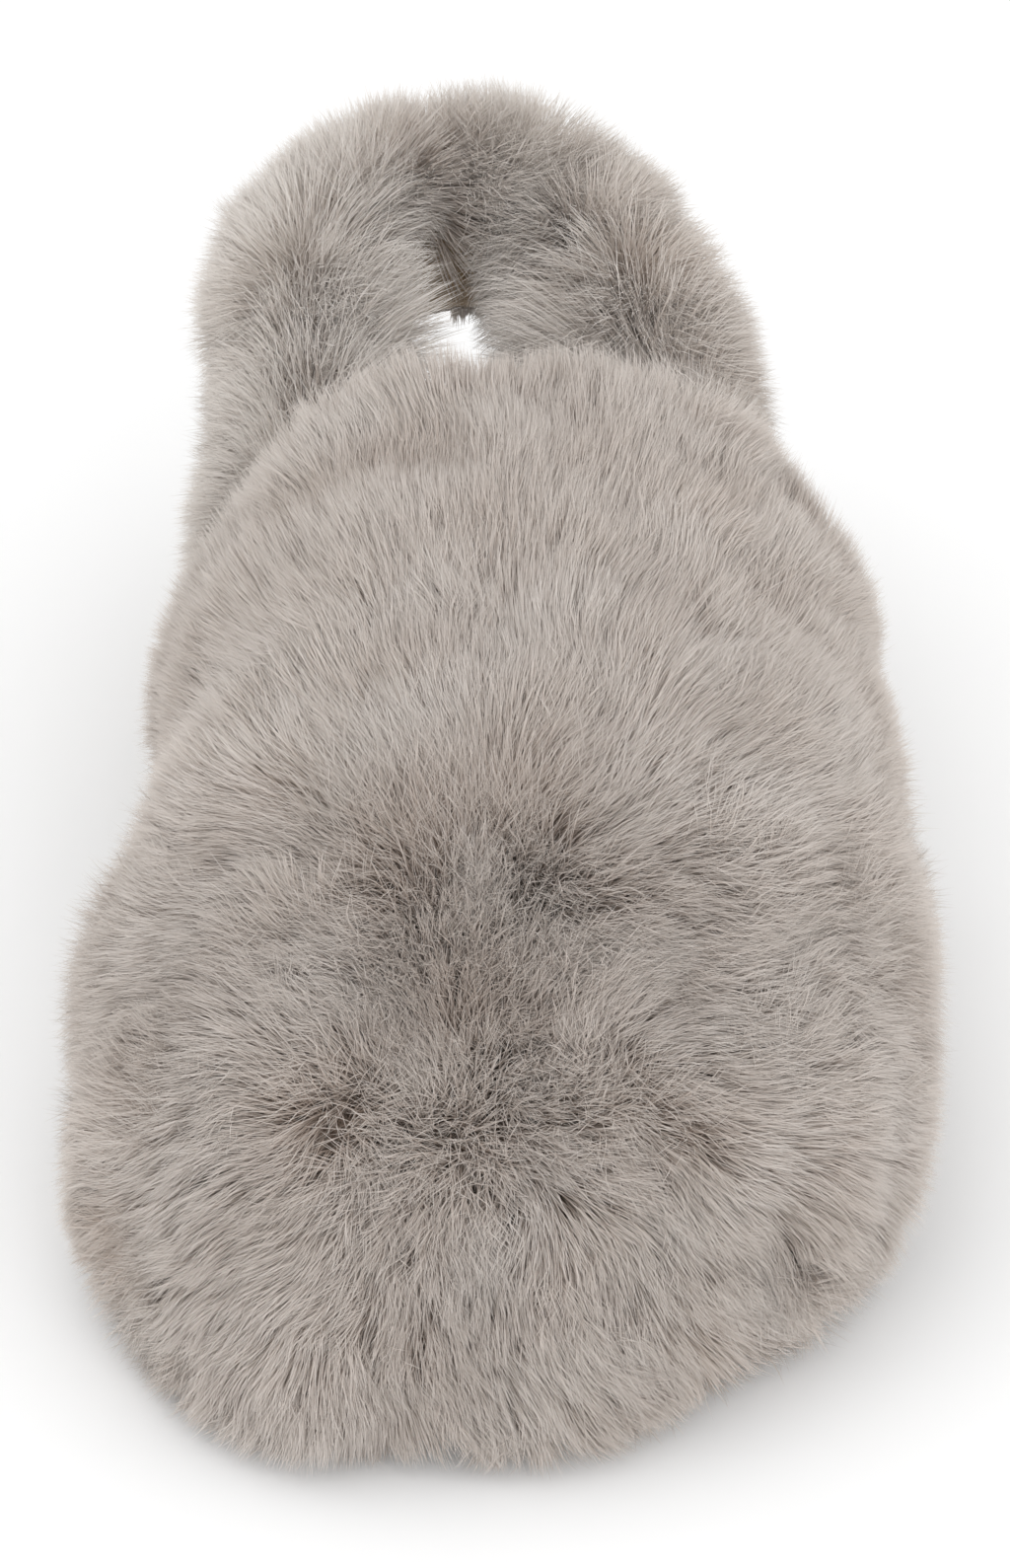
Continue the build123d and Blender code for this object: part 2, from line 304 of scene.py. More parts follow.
def fur_mesh(name, corners, tone):
    """One mesh of ribbons. The map OFBake holds each ribbon's tone across and its root to tip upwards."""
    count, per = corners.shape[:2]
    mesh = bpy.data.meshes.new(name)
    mesh.vertices.add(count * per)
    mesh.vertices.foreach_set("co", corners.astype(np.float32).ravel())
    loops = np.concatenate([np.array(f) for f in STRAND_FACES])
    sizes = np.array([len(f) for f in STRAND_FACES])
    every = (np.arange(count)[:, None] * per + loops).ravel()
    starts = np.concatenate([[0], np.cumsum(np.tile(sizes, count))[:-1]])
    mesh.loops.add(len(every))
    mesh.loops.foreach_set("vertex_index", every.astype(np.int32))
    mesh.polygons.add(count * len(sizes))
    mesh.polygons.foreach_set("loop_start", starts.astype(np.int32))
    mesh.polygons.foreach_set("use_smooth", np.ones(count * len(sizes), bool))
    height = np.repeat(LEVELS, (2, 2, 2, 1))
    side = np.array([0.1, 0.9, 0.1, 0.9, 0.1, 0.9, 0.5])
    row = np.clip((tone * TONE_BINS).astype(int), 0, TONE_BINS - 1)
    u = (row[:, None] + side[loops]) / TONE_BINS
    v = np.tile(0.02 + 0.96 * height[loops], (count, 1))
    layer = mesh.uv_layers.new(name="OFBake")
    layer.data.foreach_set("uv", np.stack([u, v], -1).astype(np.float32).ravel())
    mesh.update(calc_edges=True)
    mesh.validate()
    return mesh


# --- Materials ------------------------------------------------------------------------------------------
def node_material(name, roughness, sheen=0.0, specular=0.3):
    mat = bpy.data.materials.new(name)
    mat.use_nodes = True
    shader = mat.node_tree.nodes["Principled BSDF"]
    shader.inputs["Roughness"].default_value = roughness
    shader.inputs["Sheen Weight"].default_value = sheen
    shader.inputs["Specular IOR Level"].default_value = specular
    return mat, mat.node_tree, shader


def ramp(tree, fac, stops):
    node = tree.nodes.new("ShaderNodeValToRGB")
    tree.links.new(fac, node.inputs["Fac"])
    elements = node.color_ramp.elements
    while len(elements) < len(stops):
        elements.new(0.5)
    for element, (place, colour) in zip(elements, stops):
        element.position = place
        element.color = (*colour, 1)
    return node.outputs["Color"]


def mix_colour(tree, fac, a, b, mode="MIX"):
    node = tree.nodes.new("ShaderNodeMix")
    node.data_type = "RGBA"
    node.blend_type = mode
    for socket, value in (("Factor", fac), ("A", a), ("B", b)):
        index = {"Factor": 0, "A": 6, "B": 7}[socket]
        if hasattr(value, "is_output"):
            tree.links.new(value, node.inputs[index])
        elif socket == "Factor":
            node.inputs[index].default_value = value
        else:
            node.inputs[index].default_value = (*value, 1)
    return node.outputs[2]


def fur_material(name, root, mid, tip, dark, dark_tip):
    """Fur: brown at the root, pale at the tip, and each strand's tone from the map, which mixes random tone
    with painted shade and painted light.
    """
    mat, tree, shader = node_material(name, 0.7, sheen=0.12, specular=0.15)
    uv = tree.nodes.new("ShaderNodeUVMap")
    uv.uv_map = "OFBake"
    split = tree.nodes.new("ShaderNodeSeparateXYZ")
    tree.links.new(uv.outputs["UV"], split.inputs[0])
    along = ramp(tree, split.outputs["Y"], ((0.0, root), (0.35, mid), (0.8, tip), (1.0, tip)))
    deep = ramp(tree, split.outputs["Y"], ((0.0, root), (0.5, dark), (1.0, dark_tip)))
    tone = tree.nodes.new("ShaderNodeMath")
    tone.operation = "SNAP"
    tone.inputs[1].default_value = 1 / TONE_BINS
    tree.links.new(split.outputs["X"], tone.inputs[0])
    colour = mix_colour(tree, tone.outputs[0], deep, along)
    tree.links.new(colour, shader.inputs["Base Color"])
    return mat


def cloth_material(name, light, dark, scale, bump, roughness=0.9, sheen=0.3):
    """Woven or brushed cloth: two crossed thread patterns, a slow stain, and a bump of both."""
    mat, tree, shader = node_material(name, roughness, sheen=sheen, specular=0.2)
    coords = tree.nodes.new("ShaderNodeTexCoord").outputs["Object"]
    noise = tree.nodes.new("ShaderNodeTexNoise")
    noise.inputs["Scale"].default_value = scale
    noise.inputs["Detail"].default_value = 6
    tree.links.new(coords, noise.inputs["Vector"])
    slow = tree.nodes.new("ShaderNodeTexNoise")
    slow.inputs["Scale"].default_value = 45
    tree.links.new(coords, slow.inputs["Vector"])
    fine = ramp(tree, noise.outputs["Fac"], ((0.3, dark), (0.7, light)))
    worn = ramp(tree, slow.outputs["Fac"], ((0.3, (0.82, 0.82, 0.82)), (0.7, (1.0, 1.0, 1.0))))
    colour = mix_colour(tree, 1.0, fine, worn, "MULTIPLY")
    tree.links.new(colour, shader.inputs["Base Color"])
    bumper = tree.nodes.new("ShaderNodeBump")
    bumper.inputs["Strength"].default_value = bump
    bumper.inputs["Distance"].default_value = 0.0004
    tree.links.new(noise.outputs["Fac"], bumper.inputs["Height"])
    tree.links.new(bumper.outputs["Normal"], shader.inputs["Normal"])
    return mat


# Fur colours: root, middle and tip of a pale strand, then middle and tip of a dark one; the dark one serves
# both random tone and painted shade.
ROOT = (0.45, 0.335, 0.26)
MID = (0.592, 0.529, 0.48)
TIP = (0.718, 0.679, 0.645)
DARK = (0.48, 0.375, 0.305)
DARK_TIP = (0.56, 0.50, 0.455)
FUR = fur_material("long_pile_fur", ROOT, MID, TIP, DARK, DARK_TIP)
# Painted light: the strap's fur is a lighter copy of the vamp's fur, lifting the strap that the lamps light
# less.
LIGHTENED_STRAP_FUR = fur_material("strap_pile_fur_painted_light", (0.50, 0.395, 0.32), (0.645, 0.585, 0.535), (0.75, 0.71, 0.672),
                         DARK, DARK_TIP)
PLUSH = fur_material("footbed_plush_pile", (0.46, 0.40, 0.34), (0.66, 0.60, 0.53), (0.78, 0.73, 0.67),
                     (0.56, 0.49, 0.42), (0.66, 0.60, 0.53))
BACKING = cloth_material("knitted_backing", (0.5, 0.4, 0.33), (0.42, 0.33, 0.27), 900, 0.6)
PLUSH_BASE = cloth_material("plush_ground", (0.52, 0.45, 0.38), (0.40, 0.34, 0.28), 1500, 0.6)
TAN = cloth_material("tan_suede", (0.52, 0.385, 0.235), (0.39, 0.275, 0.16), 1400, 0.5, sheen=0.5)
RUBBER = cloth_material("moulded_rubber", (0.20, 0.165, 0.14), (0.15, 0.12, 0.10), 700, 0.3, 0.75, 0.0)
FOAM = cloth_material("foam", (0.62, 0.56, 0.46), (0.48, 0.42, 0.34), 1200, 0.5, 0.95, 0.0)
BOARD = cloth_material("fibre_board", (0.42, 0.34, 0.26), (0.30, 0.24, 0.18), 1800, 0.5, 0.95, 0.0)
TAPE = cloth_material("woven_tape", (0.36, 0.29, 0.22), (0.24, 0.19, 0.14), 2200, 0.7)
LABEL = cloth_material("satin_label", (0.78, 0.74, 0.68), (0.66, 0.62, 0.56), 2600, 0.3, 0.5)

NODE_MATERIALS = {
    "outsole": RUBBER, "midsole": FOAM, "foxing_band": TAN, "insole_board": BOARD,
    "footbed_foam": FOAM, "vamp_foam": FOAM, "toe_puff": BOARD, "vamp_lining": TAN,
    "throat_binding": TAPE, "strap_foam": FOAM, "strap_elastic": TAPE, "strap_lining": TAN,
    "strap_anchor_lateral": TAPE, "strap_anchor_medial": TAPE, "bar_tack_lateral": TAPE,
    "bar_tack_medial": TAPE, "care_label": LABEL, "footbed_plush": BACKING,
}
for node, material in NODE_MATERIALS.items():
    for place in frame["nodes"][node].material_slots:
        place.material = material

# --- The closed toe ----------------------------------------------------------------------------------------
PILE = 13 * MM
SKIN = dome_grid(PILE, 90, 110)
WHORL = np.array([(-4, -80, 61), (-9, -100, 46)]) * MM
# Lesser partings: the two ends of each and how far it reaches, in millimetres, then how much painted shade
# its crease gets.
PARTINGS = (
    (((-10, -4, 85), (-10, 0, 85)), 8, 0.15),
    (((21, -87, 54), (19, -99, 46)), 5, 0.35),
    (((15, -102, 45), (10, -108, 40)), 5, 0.35),
    (((-20, -101, 46), (-9, -98, 49)), 6, 0.25),
    (((-27, -106, 40), (21, -106, 40)), 9, 0.15),
    (((-17, -124, 14), (-14, -123, 18)), 10, 0.25),
    (((25, -117, 9), (24, -118, 14)), 9, 0.25),
    (((-52, -103, 20), (-48, -108, 24)), 8, 0.35),
    (((58, -84, 20), (60, -88, 36)), 8, 0.35),
)


def from_line(p, ends):
    """The vector to each point from the nearest place on a short line."""
    start, stop = ends
    line = stop - start
    along = np.clip(((p - start) @ line) / (line @ line), 0, 1)
    return p - start - along[:, None] * line


def vamp_comb(p):
    """Which way the pile is combed, then how upright and parted each place is, and how much painted shade it
    gets in the whorl's hollow and the partings' creases, from 0 to 1.
    """
    away = from_line(p, WHORL)
    far = np.linalg.norm(away, axis=-1)
    up = smooth((p[:, 1] - WHORL[0, 1]) / (60 * MM))[:, None]
    down = smooth((WHORL[1, 2] - p[:, 2]) / (40 * MM))[:, None]
    flow = unit(away) * smooth(far / (34 * MM))[:, None]
    flow = flow + up * np.array([0, 0.6, 0.1]) + down * np.array([0, -0.1, -0.4])
    upright = bump(far, 0, 27 * MM)
    patchy = np.clip(0.6 + 0.5 * field(p, 15 * MM, 35), 0, 1)
    # Painted shade: the whorl's hollow, where the pile parts, is darkened, patchily.
    dark = 0.34 * bump(far, 0, 13 * MM) * patchy
    parted = np.zeros(len(p))
    for ends, reach, depth in PARTINGS:
        gap = from_line(p, np.array(ends) * MM)
        near = bump(np.linalg.norm(gap, axis=-1), 0, reach * MM)
        flow = flow + 0.35 * unit(gap) * near[:, None]
        parted = np.maximum(parted, near)
        # Painted shade darkens the crease along each parting.
        dark = np.maximum(dark, depth * near ** 2.5)
    return flow, upright, parted, dark


def vamp_strands(count):
    """The vamp's strands: their roots, corners and tones."""
    p, n, s, _ = scatter(SKIN, count)
    flow, upright, parted, dark = vamp_comb(p)
    rim = smooth((s - 0.86) / 0.14)
    # Painted shade: back marks the upper vamp, whose tone is lowered below to offset the stronger light from
    # above there.
    back = smooth((p[:, 1] + 50 * MM) / (40 * MM))
    lift = 1.18 + 0.1 * upright - 0.05 * parted + 0.2 * field(p, 34 * MM, 31) + 0.12 * rim
    lift = lift + rng.normal(size=count) * 0.1
    low = smooth((-55 * MM - p[:, 1]) / (40 * MM))
    length = 19.8 + 1.3 * field(p, 22 * MM, 41) - 1.2 * upright - 1.5 * parted - 1.6 * low
    length = length * MM * rng.uniform(0.88, 1.04, count)
    # Painted highlight: the tone is raised along the throat's rim by rim.
    tone = 0.56 + 0.1 * field(p, 20 * MM, 51) - dark - 0.1 * back + 0.08 * rim
    tone = tone + rng.normal(size=count) * TONE_SPREAD
    width = rng.uniform(*STRAND_WIDTHS, count)
    unruly = (1 + 0.3 * low) * (1 - 0.75 * upright)
    corners = strands(p, n, flow, length, np.clip(lift + 0.12 * low, *LIFT_LIMITS), width, unruly=unruly)
    return p, corners, tone


def split_and_build(name, corners, tone, pieces, key, body, material=FUR):
    """Builds strands as several pieces, in bands along a key, so that no piece is too large."""
    for k, part in enumerate(np.array_split(np.argsort(key), pieces)):
        mesh = fur_mesh(f"{name}_{k + 1}", corners[part], tone[part])
        new_object(f"{name}_{k + 1}", mesh, material, body)


thickened("vamp_backing", SKIN, 1.2 * MM, BACKING, "slipper", "vamp_fur", offset=-1)
vamp_p, vamp_corners, vamp_tone = vamp_strands(272000)
split_and_build("vamp_pile", vamp_corners, vamp_tone, 7, vamp_p[:, 1], "slipper")

# --- The heel strap ----------------------------------------------------------------------------------------
# Its line in plan is two legs that lean in and a bow between them; the whole band is tilted up to the rear.
SPAN = 38 * MM
BACK = 28 * MM
LEG_END = HINGE[1] + 64.5 * MM
TILT = math.radians(22)
STRAP_X = -1 * MM
SKEW = 4 * MM
LEAN = math.atan2(SPAN - BACK, LEG_END - HINGE[1])
RADIUS = BACK / math.cos(LEAN)
CENTRE_Y = LEG_END - RADIUS * math.sin(LEAN)
LEG = (LEG_END - HINGE[1]) / math.cos(LEAN)
TURN = math.pi - 2 * LEAN
STRAP_LENGTH = 2 * LEG + RADIUS * TURN


def strap_frame(s):
    """Plan point and outward normal of the band's line at arc length s, which runs from the lateral end
    to the medial one."""
    leg = np.clip(s, -1, LEG)
    right = np.stack([SPAN - leg * math.sin(LEAN), HINGE[1] + leg * math.cos(LEAN)], -1)
    right_n = np.array([math.cos(LEAN), math.sin(LEAN)])
    angle = LEAN + np.clip((s - LEG) / RADIUS, 0, TURN)
    bow_n = np.stack([np.cos(angle), np.sin(angle)], -1)
    bow = np.array([0, CENTRE_Y]) + RADIUS * bow_n
    rest = s - LEG - RADIUS * TURN
    left = np.stack([-BACK - rest * math.sin(LEAN), LEG_END - rest * math.cos(LEAN)], -1)
    left_n = np.array([-math.cos(LEAN), math.sin(LEAN)])
    first = (s < LEG)[:, None]
    last = (rest > 0)[:, None]
    point = np.where(first, right, np.where(last, left, bow))
    normal = np.where(first, right_n, np.where(last, left_n, bow_n))
    return point, normal


def strap_point(s, out, high):
    """A point of the strap at arc length s, out from the band's line, and high above its middle, at rest."""
    point, normal = strap_frame(s)
    plan = point + normal * out[:, None]
    back = plan[:, 1] - HINGE[1]
    x = plan[:, 0] + STRAP_X - SKEW * smooth(back / (80 * MM))
    y = HINGE[1] + back * math.cos(TILT) - high * math.sin(TILT)
    z = HINGE[2] + back * math.sin(TILT) + high * math.cos(TILT)
    return np.stack([x, y, z], -1)


SECTION_TURN = 125
FAT = 6
TALL = 15.5
STRAP_START = -8 * MM
FURRED = STRAP_LENGTH - 2 * STRAP_START


def crown(k):
    """How far the strap's top rises or sinks, in millimetres, at a share k of its length."""
    sink = 2.8 * smooth((k - 0.33) / 0.05) * smooth((0.66 - k) / 0.06)
    return 4.6 * bump(k, 0.522, 0.03) - (sink + 1.7 * bump(k, 0.39, 0.03))


def strap_grid(rows, columns):
    """The strap's furred skin: a fat rounded section, open on its inner side over the lining."""
    s = np.linspace(STRAP_START, STRAP_LENGTH - STRAP_START, rows)
    angle = np.linspace(math.radians(-SECTION_TURN), math.radians(SECTION_TURN), columns)
    grid = np.zeros((rows, columns, 3))
    ends = 1 - smooth(np.minimum(s - STRAP_START, STRAP_LENGTH - STRAP_START - s) / (24 * MM))
    rear = smooth(1 - np.abs(s / STRAP_LENGTH - 0.58) / 0.21)
    lateral = smooth((0.5 - s / STRAP_LENGTH) / 0.15)
    medial = smooth((s / STRAP_LENGTH - 0.45) / 0.2) * (1 - ends)
    outer_fat = FAT + 9 * rear - 3.5 * medial - 4 * lateral
    top_tall = TALL + 1.0 * rear + crown(s / STRAP_LENGTH)
    for j, turn in enumerate(angle):
        fat = outer_fat if math.cos(turn) > 0 else FAT
        lean = 8 * smooth((math.degrees(turn) - 40) / 50) * (1 - rear)
        out = (4 + fat * math.cos(turn) - lean) * MM * (1 - 0.5 * ends)
        tall = top_tall if turn > 0 else TALL - 2.5 * rear
        high = tall * MM * math.sin(turn) * (1 - 0.35 * ends)
        grid[:, j] = strap_point(s, out, high)
    return grid[:, ::-1]


STRAP_SKIN = strap_grid(110, 40)


def slit_x(y):
    """Where the furs of the two legs meet: a line that leans to the medial side going back."""
    return (-7.5 - 9 * smooth((y - HINGE[1]) / (85 * MM))) * MM


def strap_strands(count):
    """The strap's strands: their places along it, corners and tones."""
    p, n, s, a = scatter(STRAP_SKIN, count)
    _, plan_n = strap_frame(STRAP_START + s * FURRED)
    outward = np.stack([plan_n[:, 0], plan_n[:, 1], 0 * s], -1)
    # Round the section: turn is 0 outside, 90 degrees on top and -90 underneath.
    turn = math.radians(SECTION_TURN) * (1 - 2 * a)
    degrees = np.degrees(turn)
    crest = smooth((degrees - 50) / 40)
    under = smooth((-degrees - 60) / 50)
    legs = 1 - smooth(1 - np.abs(s - 0.5) / 0.3)
    swept = smooth((-degrees - 10) / 50) * (1 - legs)
    fringe = smooth((-degrees - 15) / 45) * (1 - legs)
    near_end = 1 - smooth(np.minimum(s, 1 - s) / 0.14)

    def blend(flow, share, other):
        return flow * (1 - share[:, None]) + share[:, None] * other

    flow = outward * 0.4 + np.array([0, 0.25, -0.35])
    flow = blend(flow, crest, -outward + np.array([0, 0, 0.05]))
    flow = blend(flow, under, outward * 0.3 + np.array([0, 0, -0.4]))
    flow = blend(flow, swept, outward + np.array([0, 0, 0.15]))
    lift = 1.1 + 0.2 * field(p, 28 * MM, 61) + rng.normal(size=count) * 0.1
    lift = lift - 0.35 * swept - crest * (0.2 + 0.25 * legs)
    length = 21 + (7 + 4 * smooth((0.4 - s) / 0.1)) * crest * legs + 1.5 * field(p, 20 * MM, 71)
    length = length - 2.5 * legs * smooth(np.cos(turn) / 0.4)
    length = length * (1 - 0.35 * under) * (1 - 0.45 * fringe) * (1 - 0.15 * near_end)
    length = length * MM * rng.uniform(0.88, 1.04, count)
    # Painted shade in the crease of a parting along the lateral leg.
    parting_shade = bump(degrees, 52, 12) * smooth((0.55 - s) / 0.15)
    from_slit = p[:, 0] - slit_x(p[:, 1])
    # Painted shade: crest strands next to the slit where the legs meet are darkened, where shade falls in the
    # crease.
    slit_shade = bump(from_slit, 0, 7 * MM) * smooth((degrees - 40) / 30)
    # Painted light: the base tone 0.9, far above the vamp's, lightens the strap to offset the weaker light on
    # it; the last term darkens the lateral half, painted shade where less light falls.
    tone = 0.9 + 0.06 * field(p, 18 * MM, 81) - 0.25 * parting_shade - 0.08 * smooth((0.5 - s) / 0.1)
    tone = tone - 0.45 * slit_shade + rng.normal(size=count) * TONE_SPREAD
    width = rng.uniform(*STRAND_WIDTHS, count)
    side = np.where(from_slit > 0, 1, -1)
    widest = np.where(side < 0, 14, 8)
    inner = 0.85 * np.clip(smooth((degrees - 86) / 22) + smooth((-degrees - 70) / 20), 0, 1)
    ragged = 1.6 * MM * field(p, 9 * MM, 90)

    def part_at_slit(q):
        """Keeps strands on their own side of the slit, which is wider low down and on the medial side."""
        half = (0.6 + widest * smooth((98 * MM - q[:, 2]) / (23 * MM))) * MM
        past = half - side * (q[:, 0] - slit_x(q[:, 1]) - ragged)
        q[:, 0] += side * np.maximum(past, 0) * inner
        return q

    corners = strands(p, n, flow, length, np.clip(lift, *LIFT_LIMITS), width, guide=part_at_slit)
    return s, corners, tone


thickened("strap_backing", STRAP_SKIN, 1.0 * MM, BACKING, "heel_strap", "strap_fur", offset=-1)
strap_s, strap_corners, strap_tone = strap_strands(150000)
split_and_build("strap_pile", strap_corners, strap_tone, 5, strap_s, "heel_strap", LIGHTENED_STRAP_FUR)


def puckered(grid, wavelength, depth, seed):
    """The grid with soft puckers along its normals."""
    rise = depth * field(grid.reshape(-1, 3), wavelength, seed).reshape(grid.shape[:2])
    return grid + grid_normals(grid) * rise[..., None]


lining_grid = puckered(dome_grid(20.8 * MM, 70, 90, back=0.6 * MM), 16 * MM, 0.35 * MM, 90)
lining = thickened("vamp_lining_cloth", lining_grid, 0.8 * MM, TAN, "slipper", "vamp_lining")
padding_grid = puckered(dome_grid(18.2 * MM, 50, 70, back=1.2 * MM), 24 * MM, 0.2 * MM, 93)
padding = thickened("vamp_foam_padding", padding_grid, 3.2 * MM, FOAM, "slipper", "vamp_foam")

# The tape over the throat edge: outer flap, fold, inner flap. Each point is an inset from the dome's
# outside and a distance in from the edge, in millimetres.
TAPE_SECTION = (
    (13.9, 7), (13.8, 4), (13.8, 1),
    (15.2, -0.5), (18.2, -1.0), (20.2, -0.6),
    (21.4, 0.8), (21.5, 4), (21.4, 8),
)


def tape_grid(rows):
    """The tape's surface along the throat edge, from near one hem to near the other."""
    places = np.linspace(0.13, 0.87, rows)
    grid = np.zeros((rows, len(TAPE_SECTION), 3))
    for j, (inset, back) in enumerate(TAPE_SECTION):
        rise = dome_point(np.full(rows, THROAT_Y - 15 * MM), places, inset * MM)[:, 2]
        edge = throat_y(rise) - back * MM
        for i in range(rows):
            grid[i, j] = dome_point(edge[i], np.array([places[i]]), inset * MM)[0]
    return grid


binding_grid = puckered(tape_grid(160), 9 * MM, 0.12 * MM, 96)
binding = thickened("throat_binding_tape", binding_grid, 0.6 * MM, TAPE, "slipper", "throat_binding")


def strap_layer(start, rows, columns, half, out, curl):
    """A layer of the strap at a distance out from its line, its edges curling outwards."""
    s = np.linspace(start, STRAP_LENGTH - start, rows)
    grid = np.zeros((rows, columns, 3))
    for j, across in enumerate(np.linspace(-1, 1, columns)):
        curled = np.full(rows, out + curl * abs(across) ** 5)
        grid[:, j] = strap_point(s, curled, np.full(rows, half * across))
    return grid


strap_lining_grid = strap_layer(9 * MM, 150, 24, 14.5 * MM, -0.8 * MM, 2 * MM)
strap_lining_grid = puckered(strap_lining_grid, 11 * MM, 0.3 * MM, 99)
strap_lining = thickened("strap_lining_cloth", strap_lining_grid, 0.8 * MM, TAN,
                         "heel_strap", "strap_lining")
elastic_grid = strap_layer(-3 * MM, 160, 20, 14.8 * MM, 1.0 * MM, 0)
elastic_grid = puckered(elastic_grid, 6 * MM, 0.08 * MM, 105)
elastic = thickened("strap_elastic_web", elastic_grid, 1.4 * MM, TAPE,
                    "heel_strap", "strap_elastic")
strap_pad_grid = strap_layer(6 * MM, 120, 14, 14.5 * MM, 3.5 * MM, -0.6 * MM)
strap_pad_grid = puckered(strap_pad_grid, 20 * MM, 0.15 * MM, 102)
strap_pad = thickened("strap_foam_padding", strap_pad_grid, 2.6 * MM, FOAM,
                      "heel_strap", "strap_foam")

# --- The footbed: a foam cushion covered in short plush ----------------------------------------------------
SPOKES = 160
SPOKE_ANGLE = np.linspace(-math.pi, math.pi, SPOKES, endpoint=False)


def plush_outline():
    """How far the plush's rim in the CAD is from the middle, along each spoke."""
    node = frame["nodes"]["footbed_plush"]
    place = np.array(node.matrix_world)
    verts = np.array([tuple(v.co) for v in node.data.vertices]) @ place[:3, :3].T + place[:3, 3]
    rim = verts[verts[:, 2] > PLUSH_TOP - 0.2 * MM]
    angle = np.arctan2(rim[:, 1], rim[:, 0])
    reach = np.linalg.norm(rim[:, :2], axis=-1)
    order = np.argsort(angle)
    return np.interp(SPOKE_ANGLE, angle[order], reach[order], period=2 * math.pi)


OUTLINE = plush_outline()
DISH = 1.2 * MM
# The covered cushion's section from the middle out: share of the way to the rim, then inset and height
# in millimetres.
BED_SECTION = (
    (0.02, 0, 24.2), (0.15, 0, 24.3), (0.3, 0, 24.3), (0.45, 0, 24.2), (0.6, 0, 24.1),
    (0.72, 0, 24.0), (0.82, 0, 23.9), (0.9, 0, 23.6),
    (1, 2.0, 23.2), (1, 0.4, 22.0), (1, -0.5, 20.0), (1, -0.6, 18.2), (1, 0.2, 16.8),
)


def bed_grid():
    """The cushion's rings, from the middle out and down its side."""
    grid = np.zeros((len(BED_SECTION), SPOKES, 3))
    for i, (share, inset, high) in enumerate(BED_SECTION):
        reach = (OUTLINE - inset * MM) * share
        z = np.full(SPOKES, high * MM - DISH * (1 - share))
        grid[i] = np.stack([reach * np.cos(SPOKE_ANGLE), reach * np.sin(SPOKE_ANGLE), z], -1)
    return grid


def closed_cushion(grid):
    """The grid's rings closed over the middle and underneath, as one mesh."""
    rings, spokes = grid.shape[:2]
    verts = grid.reshape(-1, 3).tolist()
    faces = []
    for i in range(rings - 1):
        for j in range(spokes):
            k = (j + 1) % spokes
            faces.append((i * spokes + j, (i + 1) * spokes + j, (i + 1) * spokes + k, i * spokes + k))
    faces.append(tuple(range(spokes)))
    faces.append(tuple(range((rings - 1) * spokes, rings * spokes))[::-1])
    mesh = bpy.data.meshes.new("footbed_cushion")
    mesh.from_pydata(verts, [], faces)
    mesh.update()
    return mesh


def apply_modifiers(obj):
    """The mesh as the modifiers leave it, with none left on the piece."""
    graph = bpy.context.evaluated_depsgraph_get()
    mesh = bpy.data.meshes.new_from_object(obj.evaluated_get(graph))
    obj.modifiers.clear()
    obj.data = mesh


SWELL_CAP = 2.2 * MM
VOXEL = 3.5 * MM
STUCK_HEIGHT = 3.5 * MM
FRAMES = 20


def inflate(obj):
    """A short cloth simulation: pressure fills the cover, which stays down where it is stuck to the board."""
    remesh = obj.modifiers.new("remesh", "REMESH")
    remesh.mode = "VOXEL"
    remesh.voxel_size = VOXEL
    apply_modifiers(obj)
    before = np.array([tuple(v.co) for v in obj.data.vertices])
    held = obj.vertex_groups.new(name="held")
    held.add(np.nonzero(before[:, 2] < BED_BOTTOM + STUCK_HEIGHT)[0].tolist(), 1.0, "REPLACE")
    cloth = obj.modifiers.new("cloth", "CLOTH")
    cloth.settings.quality = 6
    cloth.settings.mass = 0.3
    cloth.settings.tension_stiffness = 15
    cloth.settings.compression_stiffness = 15
    cloth.settings.bending_stiffness = 0.5
    cloth.settings.use_pressure = True
    cloth.settings.uniform_pressure_force = 4
    cloth.settings.vertex_group_mass = "held"
    cloth.settings.effector_weights.gravity = 0
    cloth.point_cache.frame_start = 1
    cloth.point_cache.frame_end = FRAMES
    for step in range(1, FRAMES + 1):
        bpy.context.scene.frame_set(step)
    apply_modifiers(obj)
    bpy.context.scene.frame_set(1)
    after = np.array([tuple(v.co) for v in obj.data.vertices])
    move = after - before
    size = np.linalg.norm(move, axis=-1, keepdims=True)
    after = before + move * np.minimum(1, SWELL_CAP / np.maximum(size, 1e-9))
    after[:, 2] = np.maximum(after[:, 2], BED_BOTTOM + 0.3 * MM)
    obj.data.vertices.foreach_set("co", after.astype(np.float32).ravel())
    obj.data.update()


bed = new_object("footbed_cushion", closed_cushion(bed_grid()), PLUSH_BASE, "slipper")
inflate(bed)
bed.data.polygons.foreach_set("use_smooth", [True] * len(bed.data.polygons))
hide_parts("footbed_foam", "footbed_plush")


def scatter_mesh(mesh, count):
    """Random places over a mesh's faces that don't look down: points and normals."""
    mesh.calc_loop_triangles()
    corners = np.array([tuple(t.vertices) for t in mesh.loop_triangles])
    verts = np.array([tuple(v.co) for v in mesh.vertices])
    smooth_normals = np.array([tuple(v.normal) for v in mesh.vertices])
    a, b, c = (verts[corners[:, i]] for i in range(3))
    cross = np.cross(b - a, c - a)
    area = np.linalg.norm(cross, axis=-1) * (cross[:, 2] > -0.3 * np.linalg.norm(cross, axis=-1))
    pick = rng.choice(len(corners), count, p=area / area.sum())
    u, v = rng.random((2, count, 1))
    u, v = np.where(u + v > 1, 1 - u, u), np.where(u + v > 1, 1 - v, v)
    weights = np.stack([1 - u - v, u, v], 1)
    p = (verts[corners[pick]] * weights).sum(1)
    return p, unit((smooth_normals[corners[pick]] * weights).sum(1))


